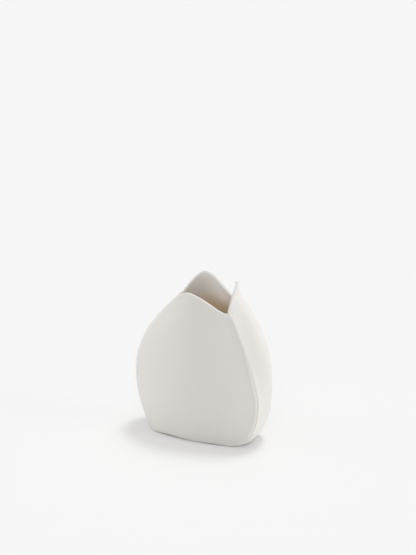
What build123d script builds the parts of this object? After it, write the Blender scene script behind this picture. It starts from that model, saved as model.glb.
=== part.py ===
from build123d import *
from itertools import accumulate
import os

os.makedirs("parts", exist_ok=True)

# A slab-built porcelain pillow vase, in millimetres. +Z is up, the broad front faces -Y, and the
# origin is on the ground below the middle of the vase.

# Main sizes: from the middle to the widest and deepest places of the seams
HALF_WIDTH = 66.0
HALF_DEPTH = 20.5

# Thicknesses and small steps
WALL = 3.0
GLAZE = 0.4
BASE_THICK = 5.0
FOOT_STEP = 0.8
LIP_ROUND = 0.5
GLAZE_DROP = 2.0
SEAM_GAP = 0.1

# Rises from one measured level of the walls to the next, from the foot to the neck and the collar above it
HEEL_RISE = 8.2
FLANK_RISE = 13.0
BELLY_RISE = 20.0
WAIST_RISE = 33.0
SHOULDER_RISE = 30.0
NECK_RISE = 33.0
COLLAR_RISE = 12.0
TOP_SPARE = 6.0

# How far the four seams draw in from the main sizes, at the foot level and so on up to the top level
RIGHT_DRAW = [28.0, 11.5, 4.0, 0.0, 5.5, 14.5, 30.0, 36.5, 39.5]
LEFT_DRAW = [22.0, 13.0, 7.0, 2.0, 3.0, 14.5, 35.0, 40.5, 48.0]
DEPTH_DRAW = [0.0, 2.0, 3.0, 3.0, 2.5, 1.5, 4.0, 5.0, 6.5]

# How far the curve handles of the bowed walls stand out past their seams at the same levels
LEFT_CROWN = [7.0, 14.0, 20.0, 24.0, 24.0, 20.0, 12.0, 10.0, 8.0]
RIGHT_CROWN = [4.5, 11.0, 14.0, 16.0, 16.0, 14.0, 8.0, 7.0, 6.0]
RIGHT_BOW = [20.5, 7.0, 5.0, 5.0, 15.6, 20.6, 17.6, 13.0, 10.4]
LEFT_BOW = [10.0, 5.0, 6.0, 8.0, 10.0, 9.0, 3.0, 3.0, 3.0]

# Where the handles of the two gussets stand at the same levels, as shares of the half depth
RIGHT_FULLNESS = [0.85, 0.6, 0.4, 0.3, 0.2, 0.15, 0.15, 0.2, 0.25]
LEFT_FULLNESS = [0.85, 0.6, 0.4, 0.4, 0.4, 0.4, 0.4, 0.4, 0.4]

# The wavy lips: places across each wall and past its seams, and heights above the neck level there
FRONT_LIP = [(-60, -35), (-34, -6), (-21, 8), (-10, 15), (5, 12.5)]
FRONT_LIP += [(18, 6), (27, 1), (33, -1), (37, 0.5), (60, 8)]
BACK_LIP = [(-60, -28), (-30, 4), (-14, 22.5), (-8, 26), (2, 23), (11, 16), (22, 7), (35, 1), (60, -8)]
RIGHT_LIP = [(-24, -20), (-16.5, 0.5), (-7, 15.7), (0, 23.7), (4.5, 26)]
RIGHT_LIP += [(7.5, 23), (11.5, 13), (16.5, 1), (24, -20)]
LEFT_LIP = [(-26, -6), (-17, -6), (0, -6), (7, -1.5), (14, 3), (26, 10)]

# The measured levels, the last of them clear above the highest lip
RISES = [FOOT_STEP, HEEL_RISE, FLANK_RISE, BELLY_RISE, WAIST_RISE, SHOULDER_RISE, NECK_RISE, COLLAR_RISE]
LEVELS = list(accumulate(RISES))
COLLAR = len(LEVELS) - 1
NECK = COLLAR - 1
PEAK = max(rise for _, rise in FRONT_LIP + BACK_LIP + RIGHT_LIP + LEFT_LIP)
LEVELS.append(LEVELS[NECK] + PEAK + TOP_SPARE)

# Even heights at which the walls are drawn
SECTIONS = 18
DRAWN_RISE = (LEVELS[-1] - FOOT_STEP) / (SECTIONS - 1)
HEIGHTS = [FOOT_STEP + DRAWN_RISE * step for step in range(SECTIONS)]

# Room around the vase for the tools that trim its lips
REACH = 4 * HALF_WIDTH


def at_height(sizes, height):
    """A size at any height, on a smooth curve through its values at the measured levels."""
    steps = [high - low for low, high in zip(LEVELS, LEVELS[1:])]
    climbs = [(after - before) / step for before, after, step in zip(sizes, sizes[1:], steps)]
    inner = [
        (climbs[k - 1] * steps[k] + climbs[k] * steps[k - 1]) / (steps[k - 1] + steps[k])
        for k in range(1, len(steps))
    ]
    slopes = [1.5 * climbs[0] - 0.5 * inner[0], *inner, 1.5 * climbs[-1] - 0.5 * inner[-1]]
    k = max(k for k in range(len(steps)) if LEVELS[k] <= height)
    t = (height - LEVELS[k]) / steps[k]
    rise = t * t * (3 - 2 * t)
    start_pull = slopes[k] * steps[k] * t * (1 - t) ** 2
    end_pull = slopes[k + 1] * steps[k] * t * t * (1 - t)
    return sizes[k] + (sizes[k + 1] - sizes[k]) * rise + start_pull - end_pull


def outline(height):
    """Curve handles of the outer wall at a height, anticlockwise from the front left seam."""
    right = HALF_WIDTH - at_height(RIGHT_DRAW, height)
    left = at_height(LEFT_DRAW, height) - HALF_WIDTH
    depth = HALF_DEPTH - at_height(DEPTH_DRAW, height)
    third = (right - left) / 3
    right_reach = depth * at_height(RIGHT_FULLNESS, height)
    left_reach = depth * at_height(LEFT_FULLNESS, height)
    broad = [
        (left, depth),
        (left + third, depth + at_height(LEFT_CROWN, height)),
        (right - third, depth + at_height(RIGHT_CROWN, height)),
        (right, depth),
    ]
    front = [Vector(x, -y) for x, y in broad]
    back = [Vector(x, y) for x, y in reversed(broad)]
    right_side = [Vector(right + at_height(RIGHT_BOW, height), y) for y in (-right_reach, right_reach)]
    left_side = [Vector(left - at_height(LEFT_BOW, height), y) for y in (left_reach, -left_reach)]
    return front + right_side + back + left_side


def inset(points, distance):
    """The same closed ring of handles with every side of it moved inward."""
    ring = list(zip(points[-1:] + points[:-1], points, points[1:] + points[:1]))
    moved = []
    for before, here, after in ring:
        arriving = (here - before).normalized().rotate(Axis.Z, -90)
        leaving = (after - here).normalized().rotate(Axis.Z, -90)
        mitre = (arriving + leaving) * (1 / (1 + arriving.dot(leaving)))
        moved.append(here - mitre * distance)
    return moved


def wall_curve(points, wall, gap):
    """The four handles of one wall's curve, short of its seams: front 0, right 1, back 2, left 3."""
    start, rise, fall, end = [points[(3 * wall + step) % len(points)] for step in range(4)]
    start += (rise - start).normalized() * gap
    end += (fall - end).normalized() * gap
    return [start, rise, fall, end]


def lip_face(lip, drop):
    """Lines around everything above a lip, for the sketch that trims it."""
    neck = LEVELS[NECK]
    points = [(place, neck + rise - drop) for place, rise in lip]
    clear = neck + PEAK + REACH
    Spline(*points)
    Polyline(points[-1], (REACH, points[-1][1]), (REACH, clear))
    Polyline((REACH, clear), (-REACH, clear), (-REACH, points[0][1]), points[0])


def wall_slab(wall, lip, lip_plane):
    """One slab of the wall, bowed between its two mitred seams and trimmed to its lip."""
    with BuildPart() as slab:
        for height in HEIGHTS:
            outer = wall_curve(outline(height), wall, SEAM_GAP / 2)
            inner = wall_curve(inset(outline(height), WALL), wall, SEAM_GAP / 2)
            with BuildSketch(Plane.XY.offset(height)):
                with BuildLine():
                    Bezier(*outer)
                    Line(outer[-1], inner[-1])
                    Bezier(*reversed(inner))
                    Line(inner[0], outer[0])
                make_face()
        loft()
        with BuildSketch(lip_plane):
            with BuildLine():
                lip_face(lip, 0)
            make_face()
        extrude(amount=REACH, both=True, mode=Mode.SUBTRACT)
        edge_pair = slab.faces().sort_by(Axis.Z)[-1].edges().sort_by(SortBy.LENGTH)[-2:]
        fillet(edge_pair, LIP_ROUND)
    return slab


def hollow(distance, floor):
    """The space inside the walls from a floor upward, its sides a distance in from the outer wall."""
    with BuildPart() as space:
        for height in HEIGHTS:
            ring = inset(outline(height), distance)
            with BuildSketch(Plane.XY.offset(height)):
                with BuildLine():
                    for wall in range(4):
                        Bezier(*wall_curve(ring, wall, 0))
                make_face()
        loft()
        split(bisect_by=Plane.XY.offset(floor), keep=Keep.TOP)
    return space


front_slab = wall_slab(0, FRONT_LIP, Plane.XZ)
right_gusset = wall_slab(1, RIGHT_LIP, Plane.YZ)
back_slab = wall_slab(2, BACK_LIP, Plane.XZ)
left_gusset = wall_slab(3, LEFT_LIP, Plane.YZ)

cavity = hollow(WALL + SEAM_GAP, FOOT_STEP)
water = hollow(WALL + SEAM_GAP + GLAZE, BASE_THICK + SEAM_GAP + GLAZE)

# The base slab plugs the foot of the walls and stands a little below them
with BuildPart() as base_slab:
    add(cavity.part)
    split(bisect_by=Plane.XY.offset(BASE_THICK), keep=Keep.BOTTOM)
    extrude(base_slab.faces().sort_by(Axis.Z)[0], amount=FOOT_STEP)

# The glaze coats the inside of the walls and the floor, and stops a little below each lip. Each lip trims
# its own side of the coat: a first and a last place across the vase, the plane it starts from and its reach
SIDE_GAP = HALF_DEPTH - DEPTH_DRAW[COLLAR] - WALL - GLAZE
FRONT_EDGE = LEFT_DRAW[NECK] - HALF_WIDTH
BACK_EDGE = FRONT_EDGE + WALL
trims = [
    (FRONT_LIP, FRONT_EDGE, REACH, Plane.XZ.offset(SIDE_GAP), REACH),
    (BACK_LIP, BACK_EDGE, REACH, Plane.XZ.offset(-SIDE_GAP), -REACH),
    (RIGHT_LIP, -SIDE_GAP, SIDE_GAP, Plane.YZ, REACH),
    (LEFT_LIP, -REACH, -SIDE_GAP, Plane.YZ.offset(FRONT_EDGE), -REACH),
    (LEFT_LIP, -SIDE_GAP, SIDE_GAP, Plane.YZ, -REACH),
    (LEFT_LIP, SIDE_GAP, REACH, Plane.YZ.offset(BACK_EDGE), -REACH),
]
with BuildPart() as glaze_lining:
    add(cavity.part)
    split(bisect_by=Plane.XY.offset(BASE_THICK + SEAM_GAP), keep=Keep.TOP)
    add(water.part, mode=Mode.SUBTRACT)
    for lip, first, last, plane, reach in trims:
        with BuildSketch(plane):
            with BuildLine():
                lip_face(lip, GLAZE_DROP)
            make_face()
            with Locations(((first + last) / 2, 0)):
                Rectangle(last - first, 4 * REACH, mode=Mode.INTERSECT)
        extrude(amount=reach, mode=Mode.SUBTRACT)

pieces = {
    "front_slab": front_slab,
    "right_gusset": right_gusset,
    "back_slab": back_slab,
    "left_gusset": left_gusset,
    "base_slab": base_slab,
    "glaze_lining": glaze_lining,
}
for name, piece in pieces.items():
    piece.part.label = name
    export_step(piece.part, f"parts/{name}.step")
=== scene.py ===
# %% [markdown]
# # A slab-built pillow vase
# The object is a small vase of white porcelain. Four rolled slabs of clay are bent and luted together at
# their seams, a fifth closes the foot, and the inside is coated with a warm glaze. The measured model is
# loaded first and stays where it is. Each piece below is modelled around it, in the same place and at the
# same size, with the finer shapes that a hand leaves in soft clay. All lengths are in metres.

# %% Load the measured model
import math
import bpy
import numpy as np
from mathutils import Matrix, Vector


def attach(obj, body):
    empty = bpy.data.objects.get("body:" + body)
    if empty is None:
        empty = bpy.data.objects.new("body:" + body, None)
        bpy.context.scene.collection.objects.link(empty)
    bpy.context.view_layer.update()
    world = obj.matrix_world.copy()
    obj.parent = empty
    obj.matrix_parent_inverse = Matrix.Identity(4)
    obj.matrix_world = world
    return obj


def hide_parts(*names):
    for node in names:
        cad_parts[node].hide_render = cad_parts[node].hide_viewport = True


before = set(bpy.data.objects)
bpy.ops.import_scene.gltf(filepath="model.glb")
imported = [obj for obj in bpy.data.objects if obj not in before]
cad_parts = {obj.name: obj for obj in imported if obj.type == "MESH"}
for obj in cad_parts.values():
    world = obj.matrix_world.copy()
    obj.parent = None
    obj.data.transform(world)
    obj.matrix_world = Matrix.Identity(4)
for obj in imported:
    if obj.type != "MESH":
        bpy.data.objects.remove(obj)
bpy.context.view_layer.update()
print("measured nodes:", sorted(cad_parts))

# %% [markdown]
# ## One smooth curve for every measured row
# A vase like this is measured at a few levels, and the wall runs smoothly from one level to the next. A
# curve object could be lofted through the levels, but then every vertex is hard to place. A small function
# that reads a smooth curve through measured values gives any height at once, and the wavy lips use it too.

# %% Read a smooth curve
def smooth_through(places, sizes, at):
    """A smooth curve through the sizes measured at some places, read wherever it is needed."""
    places = np.asarray(places, float)
    sizes = np.asarray(sizes, float)
    steps = np.diff(places)
    climbs = np.diff(sizes) / steps
    inner = (climbs[:-1] * steps[1:] + climbs[1:] * steps[:-1]) / (steps[:-1] + steps[1:])
    first = 1.5 * climbs[0] - 0.5 * inner[0]
    last = 1.5 * climbs[-1] - 0.5 * inner[-1]
    slopes = np.concatenate(([first], inner, [last]))
    k = np.clip(np.searchsorted(places, at, side="right") - 1, 0, len(steps) - 1)
    t = (at - places[k]) / steps[k]
    rise = t * t * (3 - 2 * t)
    pull = steps[k] * t * (1 - t) * (slopes[k] * (1 - t) - slopes[k + 1] * t)
    return sizes[k] + (sizes[k + 1] - sizes[k]) * rise + pull


print("a curve through 0, 1, 0 reads", smooth_through([0, 1, 2], [0, 1, 0], np.array([0.5, 1.5])))

# %% [markdown]
# ## The outline at any height
# Seen from above, the vase is a ring of four bowed walls that meet at four seams. Each wall is one Bezier
# curve, so twelve handles describe the whole ring. The lists give the same measured places as the solids:
# where the seams stand, how far the walls bow out past them, and how square the gussets are. Only the top of
# the right gusset bows out about a millimetre further here than in the solids.

# %% Measured levels of the walls
LEVELS = [0.0008, 0.009, 0.022, 0.042, 0.075, 0.105, 0.138, 0.150, 0.170]
RIGHT_SEAM = [0.038, 0.0545, 0.062, 0.066, 0.0605, 0.0515, 0.036, 0.0295, 0.0265]
LEFT_SEAM = [-0.044, -0.053, -0.059, -0.064, -0.063, -0.0515, -0.031, -0.0255, -0.018]
SEAM_DEPTH = [0.0205, 0.0185, 0.0175, 0.0175, 0.018, 0.019, 0.0165, 0.0155, 0.014]
LEFT_CROWN = [0.007, 0.014, 0.020, 0.024, 0.024, 0.020, 0.012, 0.010, 0.008]
RIGHT_CROWN = [0.0045, 0.011, 0.014, 0.016, 0.016, 0.014, 0.008, 0.007, 0.006]
RIGHT_BOW = [0.0205, 0.007, 0.005, 0.005, 0.0156, 0.0206, 0.0176, 0.0138, 0.0122]
LEFT_BOW = [0.010, 0.005, 0.006, 0.008, 0.010, 0.009, 0.003, 0.003, 0.003]
RIGHT_FULLNESS = [0.85, 0.6, 0.4, 0.3, 0.2, 0.15, 0.15, 0.2, 0.25]
LEFT_FULLNESS = [0.85, 0.6, 0.4, 0.4, 0.4, 0.4, 0.4, 0.4, 0.4]


def at_level(sizes, height):
    """One measured row, read at any heights."""
    return smooth_through(LEVELS, sizes, height)


def ring(height):
    """Twelve curve handles of the outer wall for each height, anticlockwise from the front left seam."""
    right = at_level(RIGHT_SEAM, height)
    left = at_level(LEFT_SEAM, height)
    depth = at_level(SEAM_DEPTH, height)
    third = (right - left) / 3
    right_reach = depth * at_level(RIGHT_FULLNESS, height)
    left_reach = depth * at_level(LEFT_FULLNESS, height)
    out_left = depth + at_level(LEFT_CROWN, height)
    out_right = depth + at_level(RIGHT_CROWN, height)
    past_right = right + at_level(RIGHT_BOW, height)
    past_left = left - at_level(LEFT_BOW, height)
    across = [left, left + third, right - third, right, past_right, past_right]
    across += [right, right - third, left + third, left, past_left, past_left]
    along = [-depth, -out_left, -out_right, -depth, -right_reach, right_reach]
    along += [depth, out_right, out_left, depth, left_reach, -left_reach]
    return np.stack((np.stack(across, -1), np.stack(along, -1)), -1)


print("handles of the ring at three heights:", ring(np.array([0.01, 0.08, 0.14])).shape)

# %% [markdown]
# ## Walls of even thickness
# A rolled slab is equally thick all over. Moving every leg of the handle ring inward by the same distance
# gives the inner face of the wall, and meets its neighbour in a clean mitre at the seam. The same move, a
# little deeper, gives the glaze and the base.

# %% Move a ring inward and read a point of a wall
WALL = 0.003
HANDLES = 12


def unit(vectors):
    """The same directions at length one."""
    return vectors / np.linalg.norm(vectors, axis=-1, keepdims=True)


def inset(handles, distance):
    """The same closed rings with every leg moved inward."""
    legs = unit(np.roll(handles, -1, axis=1) - handles)
    leaving = np.stack((legs[..., 1], -legs[..., 0]), -1)
    arriving = np.roll(leaving, 1, axis=1)
    mitre = (arriving + leaving) / (1 + (arriving * leaving).sum(2, keepdims=True))
    return handles - mitre * distance[:, None, None]


def across_wall(handles, wall, share):
    """Points of a wall at shares of the way across it, and the directions along it there."""
    picks = [(3 * wall + step) % HANDLES for step in range(4)]
    row = np.arange(len(handles))
    start, rise, fall, end = (handles[row, pick] for pick in picks)
    s = share[:, None]
    point = start * (1 - s) ** 3 + 3 * rise * s * (1 - s) ** 2 + 3 * fall * s * s * (1 - s) + end * s**3
    along = (rise - start) * (1 - s) ** 2 + 2 * (fall - rise) * s * (1 - s) + (end - fall) * s * s
    return point, unit(along)


front_inner = inset(ring(np.array([LEVELS[3]])), np.array([WALL]))
front_middle, _ = across_wall(front_inner, np.array([0]), np.array([0.5]))
print("middle of the front wall, inside, at the belly:", front_middle.round(4))

# %% [markdown]
# ## The wavy lips
# The top of each wall was cut by hand: a low wave in front, a taller peak behind, a point on the right and
# a nearly level cut on the left. Each lip is a short list of places across the wall and heights there. A
# boolean cut would leave ragged faces, so the top row of each slab is lifted to its lip instead.

# %% Lips
FRONT, RIGHT, BACK, LEFT = range(4)
FRONT_LIP = [(-0.060, 0.103), (-0.034, 0.132), (-0.021, 0.146), (-0.010, 0.153), (0.005, 0.1505)]
FRONT_LIP += [(0.018, 0.144), (0.027, 0.139), (0.033, 0.137), (0.037, 0.1385), (0.060, 0.146)]
RIGHT_LIP = [(-0.024, 0.118), (-0.0165, 0.1385), (-0.007, 0.1537), (0.0, 0.1617), (0.0045, 0.164)]
RIGHT_LIP += [(0.0075, 0.161), (0.0115, 0.151), (0.0165, 0.139), (0.024, 0.118)]
BACK_LIP = [(-0.060, 0.110), (-0.030, 0.142), (-0.014, 0.1605), (-0.008, 0.164), (0.002, 0.161)]
BACK_LIP += [(0.011, 0.154), (0.022, 0.145), (0.035, 0.139), (0.060, 0.130)]
LEFT_LIP = [(-0.026, 0.132), (-0.017, 0.132), (0.0, 0.132), (0.007, 0.1365)]
LEFT_LIP += [(0.014, 0.141), (0.026, 0.148)]
LIPS = [FRONT_LIP, RIGHT_LIP, BACK_LIP, LEFT_LIP]
NECK = LEVELS[6]
SETTLING_ROUNDS = 40
MEASURED_PLACES = 41


def lip_height(wall, share):
    """The height of one wall's lip at shares of the way across it, found in a few settling rounds."""
    places, heights = zip(*LIPS[wall])
    top = np.full(len(share), NECK)
    for _ in range(SETTLING_ROUNDS):
        point, _ = across_wall(ring(top), np.full(len(share), wall), share)
        top = 0.5 * top + 0.5 * smooth_through(places, heights, point[:, wall % 2])
    return top


for wall, name in enumerate(("front", "right", "back", "left")):
    heights = lip_height(wall, np.linspace(0, 1, MEASURED_PLACES))
    print(name, "lip from", heights.min().round(4), "to", heights.max().round(4))

# %% [markdown]
# ## What the hand leaves at the seams
# The seams are pressed together with slip. The corners are smoothed, and low down a thin groove stays beside
# a slight bead of pressed-out clay. The seams of the right gusset are pinched into a crisp edge, which leans
# to the left at the notch. A sculpt brush could draw all this, but small moves of the same points are easier
# to measure, and neighbouring slabs stay closed because both slabs get the same move at their seam.

# %% Soft seams, groove, pinch and notch
SEAM_ROUND = [0.006, 0.002, 0.0012, 0.0012, 0.0015, 0.003, 0.003, 0.003, 0.003]
SEAM_GROOVE = [0.0, 0.0003, 0.0007, 0.0008, 0.0004, 0.0, 0.0, 0.0, 0.0]
GROOVE_REACH = 0.0008
BEAD_PLACE = 0.0024
BEAD_REACH = 0.0012
BEAD_SHARE = 0.18
SEAM_PINCH = [0.0, 0.0, 0.0, 0.0002, 0.0006, 0.0009, 0.0009, 0.0006, 0.0003]
PINCH_REACH = 0.009
PINCHED_SEAMS = (3, 6)
NOTCH_SEAM = 3
NOTCH_LEAN = 0.0024
NOTCH_FROM = 0.130
NOTCH_FULL = 0.139
NOTCH_REACH = 0.010


def seam_moves(handles, wall, point, height, rounding, groove, pinch):
    """Small moves near both seams of a wall, and the distance of each point to its nearest seam."""
    lean = NOTCH_LEAN * np.clip((height - NOTCH_FROM) / (NOTCH_FULL - NOTCH_FROM), 0, 1) ** 2
    row = np.arange(len(handles))
    moves = np.zeros_like(point)
    closest = np.full(len(point), np.inf)
    for end in (0, 1):
        pick = 3 * (wall + end)
        corner = handles[row, pick % HANDLES]
        arriving = unit(corner - handles[row, (pick - 1) % HANDLES])
        leaving = unit(handles[row, (pick + 1) % HANDLES] - corner)
        outward = unit(np.stack((arriving[:, 1] + leaving[:, 1], -arriving[:, 0] - leaving[:, 0]), -1))
        away = np.linalg.norm(point - corner, axis=1)
        fold = 0.5 * np.clip(1 - away / rounding, 0, None)
        moves += (rounding * fold**2)[:, None] * (leaving - arriving)
        pressed = np.exp(-((away / GROOVE_REACH) ** 2))
        raised = BEAD_SHARE * np.exp(-(((away - BEAD_PLACE) / BEAD_REACH) ** 2))
        drawn_out = np.where(np.isin(pick % HANDLES, PINCHED_SEAMS), pinch, 0)
        drawn_out = drawn_out * np.clip(1 - away / PINCH_REACH, 0, None) ** 2
        moves += (groove * (raised - pressed) + drawn_out)[:, None] * outward
        leaning = np.where(pick % HANDLES == NOTCH_SEAM, lean, 0)
        moves[:, 0] -= leaning * np.clip(1 - away / NOTCH_REACH, 0, None) ** 2
        closest = np.minimum(closest, away)
    return moves, closest


print("the groove is at most", max(SEAM_GROOVE), "deep, the pinch", max(SEAM_PINCH), "high")

# %% [markdown]
# ## Uneven walls
# The broad faces of a hand-rolled slab are never quite even, and they flare a little where they were paddled
# down to the base. A noise texture would make every dent alike. Two crossing waves, one long and one short,
# swell each wall in its own way and die out at the seams.

# %% Unevenness, and any point of the vase
HAND_WAVE = 0.0003
LONG_WAVES = (0.9, 8.0)
LONG_START = 1.7
SHORT_WAVES = (1.9, -13.0)
SHORT_START = 0.8
SHORT_PHASE = 2.1
SHORT_SHARE = 0.6
PADDLED = 0.006
PADDLED_FLARE = 0.0024
TURN = 2 * math.pi


def hand_wave(wall, share, height):
    """How far a wall swells out or in at a place, nothing at its seams."""
    across, upward = LONG_WAVES
    long_swell = np.sin(TURN * (across * share + upward * height) + LONG_START * wall)
    across, upward = SHORT_WAVES
    short_swell = np.sin(TURN * (across * share + upward * height) + SHORT_PHASE + SHORT_START * wall)
    flare = np.clip(1 - height / PADDLED, 0, 1) * np.clip(share * 2 - 1, 0, 1)
    swell = HAND_WAVE * (long_swell + SHORT_SHARE * short_swell) + PADDLED_FLARE * flare
    return swell * np.sin(math.pi * share)


def place(wall, share, height, depth, rounding, groove, pinch):
    """Points of the vase, a depth in from a wall's outer face, and their distance to the nearest seam."""
    handles = inset(ring(height), depth)
    point, along = across_wall(handles, wall, share)
    moves, closest = seam_moves(handles, wall, point, height, rounding, groove, pinch)
    outward = np.stack((along[:, 1], -along[:, 0]), -1)
    swell = hand_wave(wall, share, height)[:, None] * outward
    return np.column_stack((point + moves + swell, height)), closest


swells = hand_wave(FRONT, np.linspace(0, 1, MEASURED_PLACES), LEVELS[3])
print("the front swells between", swells.min().round(5), "and", swells.max().round(5), "at the belly")

# %% [markdown]
# ## Working as on a bench
# An operator acts on all that is selected, and the loaded model is still selected. These helpers put down
# what is held, choose edges by their place, and finish a modifier.

# %% Bench helpers
def clear_bench():
    """Nothing selected, and no piece in hand."""
    if bpy.context.object and bpy.context.object.mode != "OBJECT":
        bpy.ops.object.mode_set(mode="OBJECT")
    bpy.ops.object.select_all(action="DESELECT")


def choose_edges(piece, wanted):
    """Edit mode, with only the edges selected whose two ends pass a test."""
    bpy.ops.object.mode_set(mode="EDIT")
    bpy.ops.mesh.select_mode(type="EDGE")
    bpy.ops.mesh.select_all(action="DESELECT")
    bpy.ops.object.mode_set(mode="OBJECT")
    vertices = piece.data.vertices
    for edge in piece.data.edges:
        first, second = (vertices[index].co for index in edge.vertices)
        edge.select = wanted(first, second)
    bpy.ops.object.mode_set(mode="EDIT")


def finish_modifier(piece, kind, **settings):
    """Add a modifier with its settings and apply it."""
    made = piece.modifiers.new(kind.lower(), kind)
    for name, value in settings.items():
        setattr(made, name, value)
    bpy.ops.object.modifier_apply(modifier=made.name)


def read_points(piece):
    """All vertex places of a piece as rows."""
    flat = np.empty(3 * len(piece.data.vertices))
    piece.data.vertices.foreach_get("co", flat)
    return flat.reshape(-1, 3)


def move_points(piece, points):
    """Put every vertex of a piece at its new place."""
    piece.data.vertices.foreach_set("co", points.ravel())
    piece.data.update()


def note_on_points(piece, name, values):
    """Keep one number for each vertex, which the finish of the piece can read."""
    attribute = piece.data.attributes.new(name, "FLOAT", "POINT")
    attribute.data.foreach_set("value", np.asarray(values, np.float32))


clear_bench()
print("on the bench:", len(bpy.context.selected_objects), "selected")

# %% [markdown]
# ## The four wall slabs
# A potter rolls the clay flat, cuts the slab, rounds its edge with a damp sponge and bends it. The mesh is
# made in the same order: a flat grid gets its thickness, its lip and foot are rounded while it lies flat,
# and then it is bent to the wall. Bending a flat grid by a formula keeps its faces even, where a sculpted
# or shrink-wrapped sheet would pinch at the lip.

# %% Roll a flat slab
SLAB_TALL = 0.150
LIP_ROUND = 0.0013
FOOT_ROUND = 0.0009
ROUND_SEGMENTS = 5
NEAR = 1e-6


def roll_slab(name, wide, columns, rows):
    """A flat slab with its outer face up, its foot at y = 0 and its edges rounded at foot and lip."""
    clear_bench()
    bpy.ops.mesh.primitive_grid_add(x_subdivisions=columns, y_subdivisions=rows, size=1)
    piece = bpy.context.object
    piece.name = name
    bpy.ops.object.mode_set(mode="EDIT")
    bpy.ops.transform.resize(value=(wide, SLAB_TALL, 1))
    bpy.ops.transform.translate(value=(wide / 2, SLAB_TALL / 2, 0))
    bpy.ops.object.mode_set(mode="OBJECT")
    finish_modifier(piece, "SOLIDIFY", thickness=WALL, offset=-1)
    for end, radius in ((0, FOOT_ROUND), (SLAB_TALL, LIP_ROUND)):
        choose_edges(
            piece,
            lambda a, b: abs(a.y - end) + abs(b.y - end) < NEAR and abs(a.z - b.z) < NEAR,
        )
        bpy.ops.mesh.bevel(offset=radius, segments=ROUND_SEGMENTS, affect="EDGES")
        bpy.ops.object.mode_set(mode="OBJECT")
    return piece


print("a slab is", SLAB_TALL, "tall and", WALL, "thick before it is bent")

# %% [markdown]
# ## Bending the slabs
# The soft slab is stood up around the base: its foot follows the table in a slight wave, its sides meet the
# neighbours, and its top is cut to the lip. Each vertex keeps its share of the way across and up, so one
# formula bends all four slabs. Columns crowd toward the seams, where the small shapes are.

# %% Bend the slab to its wall
SEAM_CROWDING = 0.85
FOOT_PLACES = [0.0, 0.22, 0.52, 0.82, 1.0]
FOOT_HEIGHTS = [0.0003, 0.0016, 0.0003, 0.0010, 0.0003]
SMOOTH_ANGLE = math.radians(45)


def bend_slab(piece, wall, wide):
    """Bend a flat slab to one wall of the vase and up to its lip."""
    x, y, z = read_points(piece).T
    even = np.clip(x / wide, 0, 1)
    share = (1 - SEAM_CROWDING) * even + SEAM_CROWDING * (0.5 - 0.5 * np.cos(math.pi * even))
    depth = -z
    foot = smooth_through(FOOT_PLACES, FOOT_HEIGHTS, share)
    height = foot + y / SLAB_TALL * (lip_height(wall, share) - foot)
    outer = 1 - depth / WALL
    rounding = at_level(SEAM_ROUND, height)
    groove = outer * at_level(SEAM_GROOVE, height)
    pinch = outer * at_level(SEAM_PINCH, height)
    softness = np.maximum(rounding * outer, NEAR)
    same_wall = np.full(len(share), wall)
    points, to_seam = place(same_wall, share, height, depth, softness, groove, pinch)
    move_points(piece, points)
    # painted shade: the seam grooves are marked at each vertex, so the clay can be coloured darker in them
    near_seam = np.exp(-((to_seam / GROOVE_REACH) ** 2))
    note_on_points(piece, "groove_shade", groove / max(SEAM_GROOVE) * near_seam)
    bpy.ops.object.shade_smooth_by_angle(angle=SMOOTH_ANGLE)
    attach(piece, "root")


SLABS = {
    "front_slab": (FRONT, 0.130, 104),
    "right_gusset": (RIGHT, 0.052, 56),
    "back_slab": (BACK, 0.130, 104),
    "left_gusset": (LEFT, 0.045, 48),
}
ROWS = 92
walls = {}
for name, (wall, wide, columns) in SLABS.items():
    walls[name] = roll_slab("shaped_" + name, wide, columns, ROWS)
    bend_slab(walls[name], wall, wide)
    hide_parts(name)
    print(name, "faces", len(walls[name].data.polygons))

# %% [markdown]
# ## The base slab
# The floor of the vase is a thick slab that plugs the walls and stands a little below them, so a thin dark
# line shows at the table. A cylinder gives a closed plate with even sides, its rims are rounded, and each
# vertex then moves out to the inner outline of the walls.

# %% Base
BASE_THICK = 0.005
BASE_EDGE = 0.0008
BASE_SEGMENTS = 3
RING_VERTICES = 192
FITTING_GAP = 0.0001
QUARTERS = 4
QUARTER_TURN = 90
FIRST_SEAM = -135


def ring_places(points):
    """Which wall a vertex of a round primitive belongs to, its share across that wall and its radius."""
    turned = np.degrees(np.arctan2(points[:, 1], points[:, 0])) - FIRST_SEAM
    quarter = turned / QUARTER_TURN % QUARTERS
    quarter = np.where(QUARTERS - quarter < NEAR, 0, quarter)
    wall = np.clip(np.floor(quarter + NEAR).astype(int), 0, QUARTERS - 1)
    share = np.clip(quarter - wall, 0, 1)
    return wall, share, np.hypot(points[:, 0], points[:, 1])


clear_bench()
bpy.ops.mesh.primitive_cylinder_add(vertices=RING_VERTICES, radius=1, depth=BASE_THICK)
base = bpy.context.object
base.name = "shaped_base_slab"
bpy.ops.object.mode_set(mode="EDIT")
bpy.ops.transform.translate(value=(0, 0, BASE_THICK / 2))
bpy.ops.object.mode_set(mode="OBJECT")
choose_edges(base, lambda a, b: abs(a.z - b.z) < NEAR)
bpy.ops.mesh.bevel(offset=BASE_EDGE, segments=BASE_SEGMENTS, affect="EDGES")
bpy.ops.object.mode_set(mode="OBJECT")
flat = read_points(base)
wall_of, share_of, radius_of = ring_places(flat)
plug_round = np.full(len(flat), BASE_THICK)
plug_depth = np.full(len(flat), WALL + FITTING_GAP)
flush = np.zeros(len(flat))
plug_height = np.maximum(flat[:, 2], LEVELS[0])
edge, _ = place(wall_of, share_of, plug_height, plug_depth, plug_round, flush, flush)
edge_inset = (1 - radius_of)[:, None] * unit(edge[:, :2])
move_points(base, np.column_stack((edge[:, :2] - edge_inset, flat[:, 2])))
bpy.ops.object.shade_smooth_by_angle(angle=SMOOTH_ANGLE)
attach(base, "root")
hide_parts("base_slab")
print("base faces", len(base.data.polygons))
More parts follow.
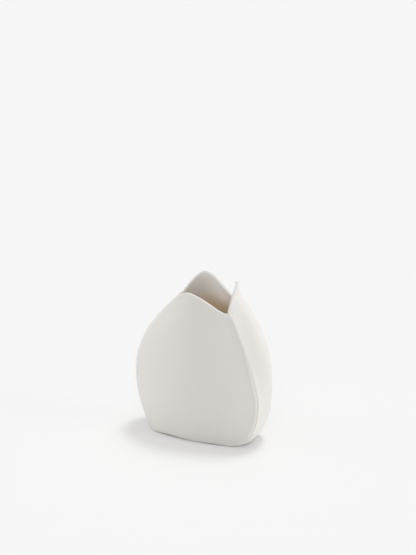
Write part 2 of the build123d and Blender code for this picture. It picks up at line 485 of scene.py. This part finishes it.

# %% [markdown]
# ## The glaze inside
# Glaze is poured in, swirled and poured out. It covers the walls and the floor in one thin coat, rounds the
# inner corners where it pools, and stops just under the lips. An open cylinder with a floor is shaped
# to the inside of the walls and only then gets its thickness, so the coat is even.

# %% Glaze lining
GLAZE = 0.0004
GLAZE_DROP = 0.0012
GLAZE_POOL = 0.004
FLOOR_STEPS = (0.82, 0.6, 0.5)
LINING_ROWS = 60
FLOOR_ROUND = 0.03
floor_level = BASE_THICK + FITTING_GAP + GLAZE
clear_bench()
bpy.ops.mesh.primitive_cylinder_add(vertices=RING_VERTICES, radius=1, depth=1, end_fill_type="NOTHING")
lining = bpy.context.object
lining.name = "shaped_glaze_lining"
bpy.ops.object.mode_set(mode="EDIT")
bpy.ops.transform.translate(value=(0, 0, 0.5))
bpy.ops.object.mode_set(mode="OBJECT")
choose_edges(lining, lambda a, b: abs(a.z - b.z) > NEAR)
bpy.ops.mesh.subdivide(number_cuts=LINING_ROWS)
bpy.ops.object.mode_set(mode="OBJECT")
choose_edges(lining, lambda a, b: a.z + b.z < NEAR)
for step in FLOOR_STEPS:
    bpy.ops.mesh.extrude_region_move()
    bpy.ops.transform.resize(value=(step, step, 1))
bpy.ops.mesh.edge_face_add()
bpy.ops.object.mode_set(mode="OBJECT")
choose_edges(lining, lambda a, b: a.z + b.z < NEAR and min(a.xy.length, b.xy.length) > 1 - NEAR)
bpy.ops.mesh.bevel(offset=FLOOR_ROUND, segments=ROUND_SEGMENTS, affect="EDGES")
bpy.ops.mesh.select_all(action="SELECT")
bpy.ops.mesh.normals_make_consistent(inside=True)
bpy.ops.object.mode_set(mode="OBJECT")
cup = read_points(lining)
wall_of, share_of, radius_of = ring_places(cup)
rim = np.empty(len(cup))
for wall in range(QUARTERS):
    here = wall_of == wall
    rim[here] = lip_height(wall, share_of[here]) - GLAZE_DROP
height = floor_level + cup[:, 2] * (rim - floor_level)
coat_depth = np.full(len(cup), WALL + FITTING_GAP + GLAZE)
pool = np.full(len(cup), GLAZE_POOL)
flush = np.zeros(len(cup))
edge, _ = place(wall_of, share_of, height, coat_depth, pool, flush, flush)
move_points(lining, np.column_stack((edge[:, :2] * radius_of[:, None], height)))
note_on_points(lining, "below_lip", rim - height)
finish_modifier(lining, "SOLIDIFY", thickness=GLAZE, offset=-1)
bpy.ops.object.shade_smooth_by_angle(angle=SMOOTH_ANGLE)
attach(lining, "root")
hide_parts("glaze_lining")
print("lining faces", len(lining.data.polygons))

# %% [markdown]
# ## Shader arithmetic
# A finish is a small network of nodes. Writing it as arithmetic keeps it readable: this class wraps an
# output socket, so adding or multiplying two of them adds the Math nodes, and one method adds any other
# kind of node with its settings and inputs.

# %% Wires
class Wire:
    """An output socket that takes part in arithmetic."""

    def __init__(self, tree, socket=None):
        self.tree = tree
        self.socket = socket

    def node(self, kind, settings=None, inputs=None, output=0):
        """Add a node: its settings first, then the values or wires of its inputs."""
        made = self.tree.nodes.new(kind)
        for name, value in (settings or {}).items():
            setattr(made, name, value)
        for name, value in (inputs or {}).items():
            if isinstance(value, Wire):
                self.tree.links.new(value.socket, made.inputs[name])
            else:
                made.inputs[name].default_value = value
        return Wire(self.tree, made.outputs[output]) if len(made.outputs) else made

    def math(self, operation, first, second):
        """One Math node on two values."""
        return self.node("ShaderNodeMath", {"operation": operation}, {0: first, 1: second})

    def __add__(self, other):
        return self.math("ADD", self, other)

    __radd__ = __add__

    def __sub__(self, other):
        return self.math("SUBTRACT", self, other)

    def __rsub__(self, other):
        return self.math("SUBTRACT", other, self)

    def __mul__(self, other):
        return self.math("MULTIPLY", self, other)

    __rmul__ = __mul__

    def clamp(self):
        """The same value held between nought and one."""
        return self.node("ShaderNodeClamp", None, {"Value": self})


def new_finish(name):
    """An empty material, a wire to start from and its surface shader."""
    material = bpy.data.materials.new(name)
    material.use_nodes = True
    tree = material.node_tree
    shader = tree.nodes["Principled BSDF"]
    return material, Wire(tree), shader


def connect(wire, shader, name):
    """Feed a wire into one input of the surface shader."""
    wire.tree.links.new(wire.socket, shader.inputs[name])


print("wires ready")

# %% [markdown]
# ## The porcelain
# Unglazed porcelain fires to a warm, satin white with faint clouds. The pressed seam grooves are darkened as
# painted shade. An image texture would fix the clouds to one view. Noise in the object's own coordinates
# holds from every side, and the painted shade follows a number that the slabs keep at each vertex.

# %% Porcelain
OBJECT_PLACE = 3
ATTRIBUTE_VALUE = 2


def mixed(wire, factor, first, second):
    """A colour between two colours."""
    settings = {"data_type": "RGBA"}
    inputs = {"Factor": factor, 6: first, 7: second}
    return wire.node("ShaderNodeMix", settings, inputs, output=2)


def grain(wire, scale, detail=3.0, rough=0.5):
    """Noise over the piece, from nought to one, with so many features to the metre."""
    here = wire.node("ShaderNodeTexCoord", output=OBJECT_PLACE)
    inputs = {"Vector": here, "Scale": scale, "Detail": detail, "Roughness": rough}
    return wire.node("ShaderNodeTexNoise", None, inputs)


def kept_number(wire, name):
    """A number that the piece keeps at its vertices."""
    return wire.node("ShaderNodeAttribute", {"attribute_name": name}, output=ATTRIBUTE_VALUE)


def tilt(wire, shader, height, strength, depth):
    """Let a pattern of heights tilt the surface a little."""
    inputs = {"Strength": strength, "Distance": depth, "Height": height}
    connect(wire.node("ShaderNodeBump", None, inputs), shader, "Normal")


WARM_WHITE = (0.768, 0.744, 0.706, 1)
CLOUD_WHITE = (0.744, 0.722, 0.689, 1)
# painted shade: the darker colour of the seam grooves
GROOVE_SHADE_COLOUR = (0.66, 0.62, 0.57, 1)
CLOUD_SCALE = 22
GROOVE_SHADE_SHARE = 0.6
SATIN = 0.58
SATIN_SPREAD = 0.14
SATIN_SCALE = 60
FINE_GRAIN = 900
FINE_SHARE = 0.15
COARSE_GRAIN = 90
PORCELAIN_SHINE = 0.25
porcelain, wire, shader = new_finish("porcelain")
clay = mixed(wire, grain(wire, CLOUD_SCALE, 2.0), WARM_WHITE, CLOUD_WHITE)
# painted shade darkens the clay in the seam grooves
clay = mixed(wire, kept_number(wire, "groove_shade") * GROOVE_SHADE_SHARE, clay, GROOVE_SHADE_COLOUR)
connect(clay, shader, "Base Color")
connect(SATIN + SATIN_SPREAD * grain(wire, SATIN_SCALE), shader, "Roughness")
pitting = grain(wire, FINE_GRAIN, 1.0) * FINE_SHARE + grain(wire, COARSE_GRAIN, 2.0)
tilt(wire, shader, pitting, strength=0.05, depth=0.0008)
shader.inputs["Specular IOR Level"].default_value = PORCELAIN_SHINE
for piece in walls.values():
    piece.data.materials.append(porcelain)
print("porcelain nodes", len(porcelain.node_tree.nodes))

# %% [markdown]
# ## The glaze
# The glaze is warmer than the clay and glossy. It runs down while it is wet, so it lies thicker and more
# amber further down. Painted shade with warm bounce light adds to that amber further down and toward the
# right side.
# A single colour would look like paint; the distance below the lip and the place across the vase mix two
# colours.

# %% Glaze
THIN_GLAZE = (0.95, 0.925, 0.88, 1)
# the deep colour is partly glaze pooled lower down, partly painted shade with warm bounce light inside the
# vase
POOLED_GLAZE_AND_SHADE = (0.95, 0.75, 0.49, 1)
POOLING_AND_SHADE = 40
# painted shade: the glaze is coloured darker and more amber toward the right side
SHADED_RIGHT_SIDE = 12
MOTTLE = 0.3
MOTTLE_SCALE = 45
POOL_AND_SHADE_START = 0.75
GLOSS = 0.18
GLOSS_SPREAD = 0.12
GLOSS_SCALE = 90
RIPPLE_SCALE = 120
glaze, wire, shader = new_finish("glaze")
here = wire.node("ShaderNodeTexCoord", output=OBJECT_PLACE)
across = wire.node("ShaderNodeSeparateXYZ", None, {"Vector": here})
# further down: glaze pooling and painted shade together; toward the right side: painted shade with warm
# bounce light
pool_and_shade_mask = kept_number(wire, "below_lip") * POOLING_AND_SHADE + across * SHADED_RIGHT_SIDE
thickness = (pool_and_shade_mask + MOTTLE * grain(wire, MOTTLE_SCALE) - POOL_AND_SHADE_START).clamp()
connect(mixed(wire, thickness, THIN_GLAZE, POOLED_GLAZE_AND_SHADE), shader, "Base Color")
connect(GLOSS + GLOSS_SPREAD * grain(wire, GLOSS_SCALE), shader, "Roughness")
tilt(wire, shader, grain(wire, RIPPLE_SCALE, 1.0), strength=0.08, depth=0.001)
lining.data.materials.append(glaze)
print("glaze nodes", len(glaze.node_tree.nodes))

# %% [markdown]
# ## The bare foot
# The foot is the same clay, sanded flat after firing and left matte, with a little dust in its grain. It
# hardly shows, but a part that is turned over should still look right.

# %% Bare foot
SANDED_CLAY = (0.74, 0.70, 0.64, 1)
DUSTY_CLAY = (0.66, 0.61, 0.55, 1)
DUST_SCALE = 300
MATTE = 0.75
MATTE_SPREAD = 0.2
MATTE_SCALE = 160
bare_foot, wire, shader = new_finish("bare_foot")
dust = grain(wire, DUST_SCALE, 4.0, 0.7)
connect(mixed(wire, dust, SANDED_CLAY, DUSTY_CLAY), shader, "Base Color")
connect(MATTE + MATTE_SPREAD * grain(wire, MATTE_SCALE), shader, "Roughness")
tilt(wire, shader, grain(wire, FINE_GRAIN), strength=0.2, depth=0.0005)
base.data.materials.append(bare_foot)
print("foot nodes", len(bare_foot.node_tree.nodes))

# %% [markdown]
# ## The floor
# The vase stands on a plain pale floor. A large plane runs on past the picture, so no edge or horizon shows
# behind the vase, and a rough paint without shine keeps it free of reflections.

# %% Floor
FLOOR_SIZE = 60
FLOOR_TONE = (0.93, 0.93, 0.93, 1)
clear_bench()
bpy.ops.mesh.primitive_plane_add(size=FLOOR_SIZE)
floor = bpy.context.object
floor.name = "floor"
floor_paint, wire, shader = new_finish("floor_paint")
shader.inputs["Base Color"].default_value = FLOOR_TONE
shader.inputs["Roughness"].default_value = 1
shader.inputs["Specular IOR Level"].default_value = 0
floor.data.materials.append(floor_paint)
print("floor", FLOOR_SIZE, "metres wide")

# %% [markdown]
# ## The light
# A soft sky, brightest overhead, lights the vase all round. A key lamp high behind it lays the short shadow
# in front, a fill lamp near the camera reaches the inside, and two low lamps light the sides without long
# shadows. Area lamps would fall off over the floor; these are all distant, so the floor keeps one tone. The
# camera sees the sky at one plain level, so it ends in the same tone as the floor.

# %% Light
SKY_CLIMB = 1.02
SKY_SEEN = 0.93
SKY_WHITE = (1, 1, 1, 1)
CAMERA_RAY, GLOSSY_RAY, TRANSMISSION_RAY = 0, 3, 6
LAMPS = {
    "key_lamp": ((0.10, 0.25, 0.96), 0.72, 15),
    "fill_lamp": ((0.37, -0.78, 0.50), 0.36, 30),
    "right_lamp": ((1.0, 0.10, 0.03), 1.65, 12),
    "left_lamp": ((-1.0, -0.30, 0.03), 1.40, 12),
}
for name, (toward, strength, spread) in LAMPS.items():
    lamp = bpy.data.lights.new(name, "SUN")
    lamp.energy = strength
    lamp.angle = math.radians(spread)
    holder = bpy.data.objects.new(name, lamp)
    holder.rotation_euler = Vector(toward).to_track_quat("Z", "Y").to_euler()
    bpy.context.collection.objects.link(holder)

sky = bpy.data.worlds.new("sky")
bpy.context.scene.world = sky
sky.use_nodes = True
wire = Wire(sky.node_tree)
seen = wire.node("ShaderNodeLightPath", output=CAMERA_RAY)
for ray in (GLOSSY_RAY, TRANSMISSION_RAY):
    seen = wire.math("MAXIMUM", seen, wire.node("ShaderNodeLightPath", output=ray))
toward = wire.node("ShaderNodeTexCoord")
upward = wire.node("ShaderNodeSeparateXYZ", None, {"Vector": toward}, output=2).clamp()
brightness = SKY_CLIMB * upward * (1 - seen) + SKY_SEEN * seen
backdrop = sky.node_tree.nodes["Background"]
backdrop.inputs["Color"].default_value = SKY_WHITE
connect(brightness, backdrop, "Strength")
print("lamps", list(LAMPS))

# %% [markdown]
# ## The camera
# The camera stands in front, a little to the right and above, and looks past the vase to leave it low in the
# frame. A long lens from further away keeps the upright lines of the slabs calm.

# %% Camera
CAMERA_PLACE = Vector((0.50935, -1.08114, 0.57515))
CAMERA_AIM = Vector((-0.00613, 0.02430, 0.15517))
LENS = 85
camera_data = bpy.data.cameras.new("camera")
camera_data.lens = LENS
camera = bpy.data.objects.new("camera", camera_data)
camera.location = CAMERA_PLACE
camera.rotation_euler = (CAMERA_AIM - CAMERA_PLACE).to_track_quat("-Z", "Y").to_euler()
bpy.context.collection.objects.link(camera)
bpy.context.scene.camera = camera
bpy.context.scene.view_settings.view_transform = "Standard"
print("camera at", tuple(CAMERA_PLACE))
